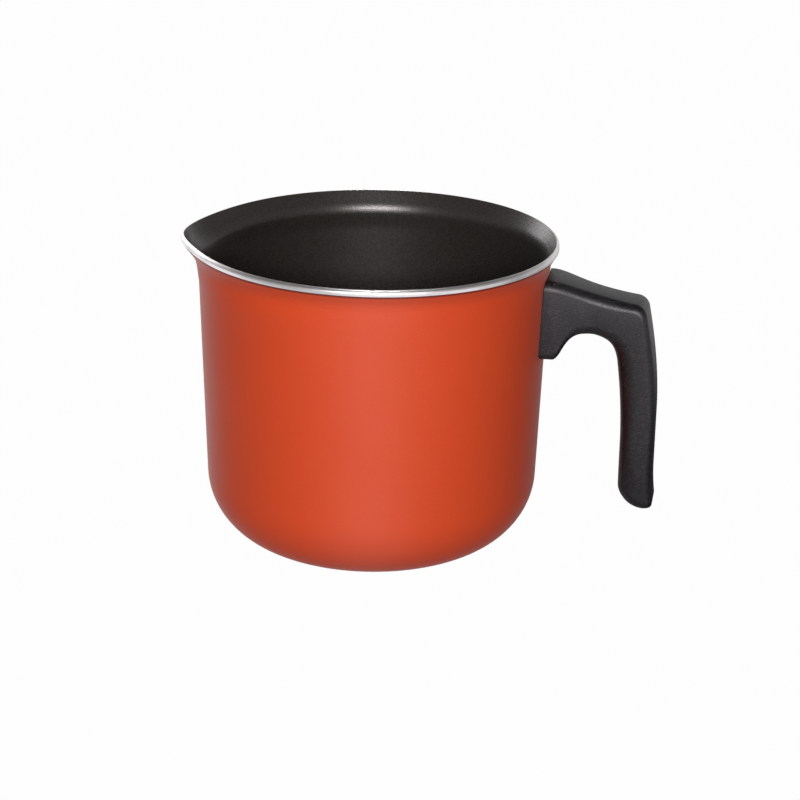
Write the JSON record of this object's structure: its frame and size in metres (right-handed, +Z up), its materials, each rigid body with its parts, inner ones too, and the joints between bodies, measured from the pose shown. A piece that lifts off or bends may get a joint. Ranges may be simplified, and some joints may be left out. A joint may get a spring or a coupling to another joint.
{
  "type": "milk pan",
  "caption": "Small deep milk pan with a flared rim, a pulled pouring lip and a moulded hook-shaped side handle on a riveted bracket.",
  "frame": {"origin": "centre of the pan's flat underside, on the axis of the turned body", "axes": "+Z up along the pan's axis, +X towards the handle, -X towards the pouring lip"},
  "size_m": [0.1937, 0.1454, 0.1257],
  "materials": {
    "pan_body": "gloss",
    "orange_enamel": "gloss",
    "nonstick_lining": "satin",
    "bare_rim": "satin",
    "bare_base": "satin",
    "black_moulding": "satin",
    "pressed_steel": "satin",
    "rivet_aluminium": "satin",
    "zinc_steel": "satin",
    "spring_steel": "satin"
  },
  "bodies": {
    "root": {"pan_body": "pan_body", "handle": "black_moulding", "handle_bracket": "pressed_steel", "rivet_upper": "rivet_aluminium", "rivet_lower": "rivet_aluminium", "handle_screw": "zinc_steel", "lock_washer": "spring_steel"}
  },
  "joints": []
}
